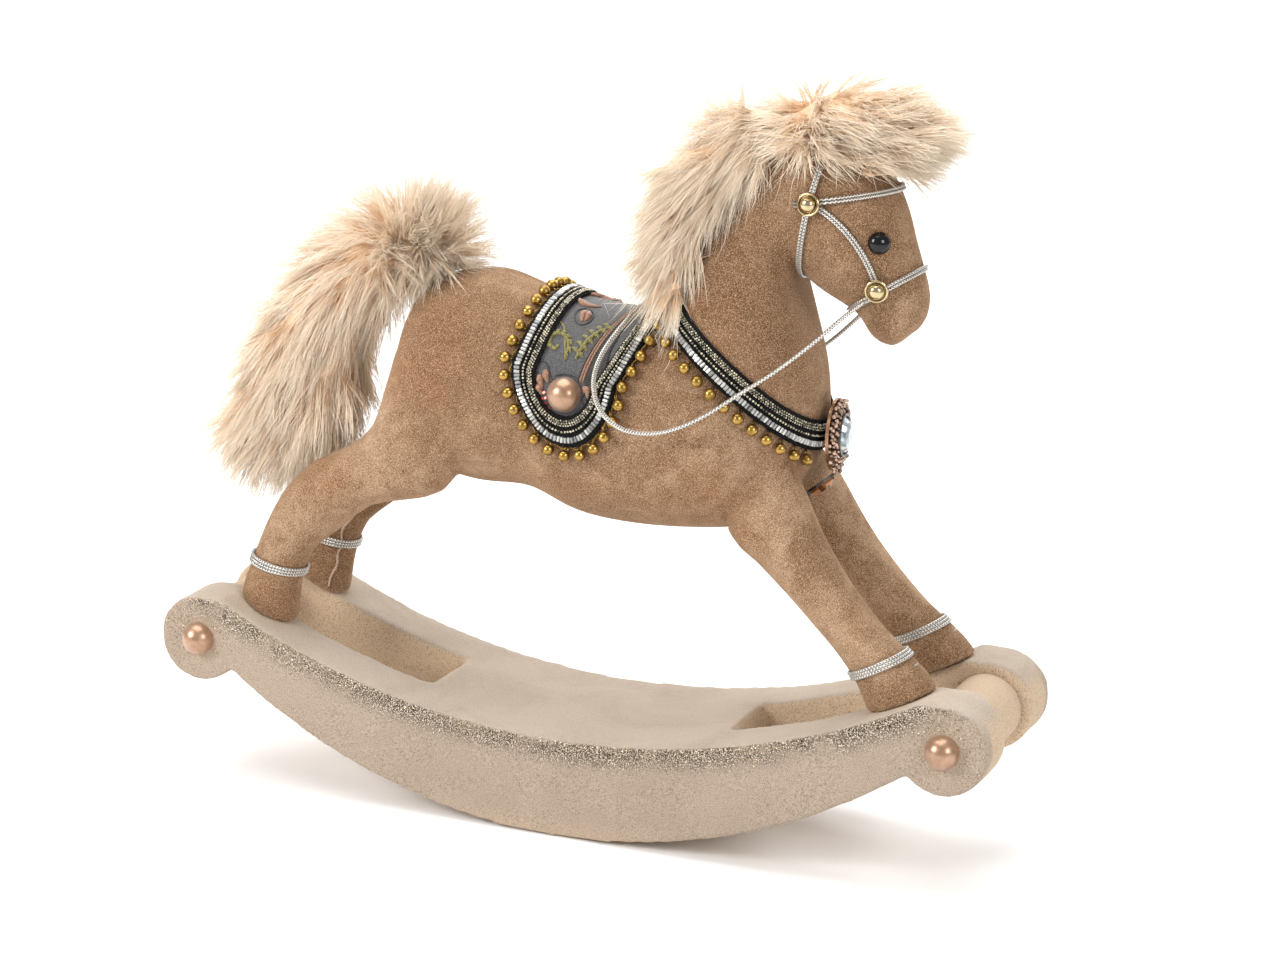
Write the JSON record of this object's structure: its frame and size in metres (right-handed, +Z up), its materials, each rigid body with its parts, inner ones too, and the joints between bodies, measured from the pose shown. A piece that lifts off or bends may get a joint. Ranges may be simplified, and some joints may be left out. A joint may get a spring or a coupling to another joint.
{
  "type": "rocking horse",
  "caption": "Table-top rocking horse: velvet galloping horse with fur mane and tail, beaded saddle, collar and bridle, on a curved rocker with scroll ends.",
  "frame": {"origin": "on the ground under the middle of the rocker, on the line where the two rails touch it", "axes": "+X the way the horse faces, along the rocker; +Y the horse's left side; +Z up"},
  "size_m": [0.335, 0.0926, 0.2866],
  "materials": {
    "rocker_velvet": "pale beige velvet",
    "dowel_wood": "plain turned wood",
    "pin_steel": "plain wire",
    "pearl": "champagne pearl lacquer",
    "horse_velvet": "camel velvet with a pale nap",
    "fur": "long pile faux fur, cream tips",
    "eye_black": "polished black",
    "brocade": "slate grey brocade with olive and rose scrolls",
    "tape_black": "black woven tape",
    "silver_bead": "silver lined glass beads",
    "seed_bead": "champagne seed beads",
    "gold_ball": "antique gold balls",
    "brooch_copper": "copper and rose beads",
    "dark_setting": "dark metal setting",
    "crystal": "clear faceted crystal",
    "topaz": "topaz brown faceted glass",
    "silver_cord": "silver metallic cord",
    "gold_stud": "polished gold domes"
  },
  "bodies": {
    "horse": {"rocker_rail_right": "rocker_velvet", "rocker_rail_left": "rocker_velvet", "rocker_deck": "rocker_velvet", "front_crossbar": "rocker_velvet", "rear_crossbar": "rocker_velvet", "rocker_dowels": "dowel_wood", "rocker_pearls": "pearl", "body": "horse_velvet", "head": "horse_velvet", "right_hind_leg": "horse_velvet", "left_hind_leg": "horse_velvet", "right_fore_leg": "horse_velvet", "left_fore_leg": "horse_velvet", "leg_dowels": "dowel_wood", "hoof_pins": "pin_steel", "neck_dowel": "dowel_wood", "tail_core": "dowel_wood", "tail_fur": "fur", "mane": "fur", "forelock": "fur", "right_eye": "eye_black", "left_eye": "eye_black", "saddle_panel": "brocade", "saddle_tape": "tape_black", "saddle_bugle_row": "silver_bead", "saddle_ball_row": "silver_bead", "saddle_seed_row": "seed_bead", "saddle_fringe": "gold_ball", "saddle_pearls": "pearl", "collar_tape": "tape_black", "collar_bugle_row": "silver_bead", "collar_ball_row": "silver_bead", "collar_seed_row": "seed_bead", "collar_fringe": "gold_ball", "brooch_plate": "brooch_copper", "brooch_bezel": "dark_setting", "brooch_crystal": "crystal", "brooch_beads": "brooch_copper", "topaz_drop": "topaz", "topaz_setting": "dark_setting", "browband": "silver_cord", "noseband": "silver_cord", "cheek_straps": "silver_cord", "throatlatch": "silver_cord", "bridle_studs": "gold_stud", "reins": "silver_cord", "right_hind_band": "silver_cord", "left_hind_band": "silver_cord", "right_fore_band": "silver_cord", "left_fore_band": "silver_cord"}
  },
  "joints": []
}
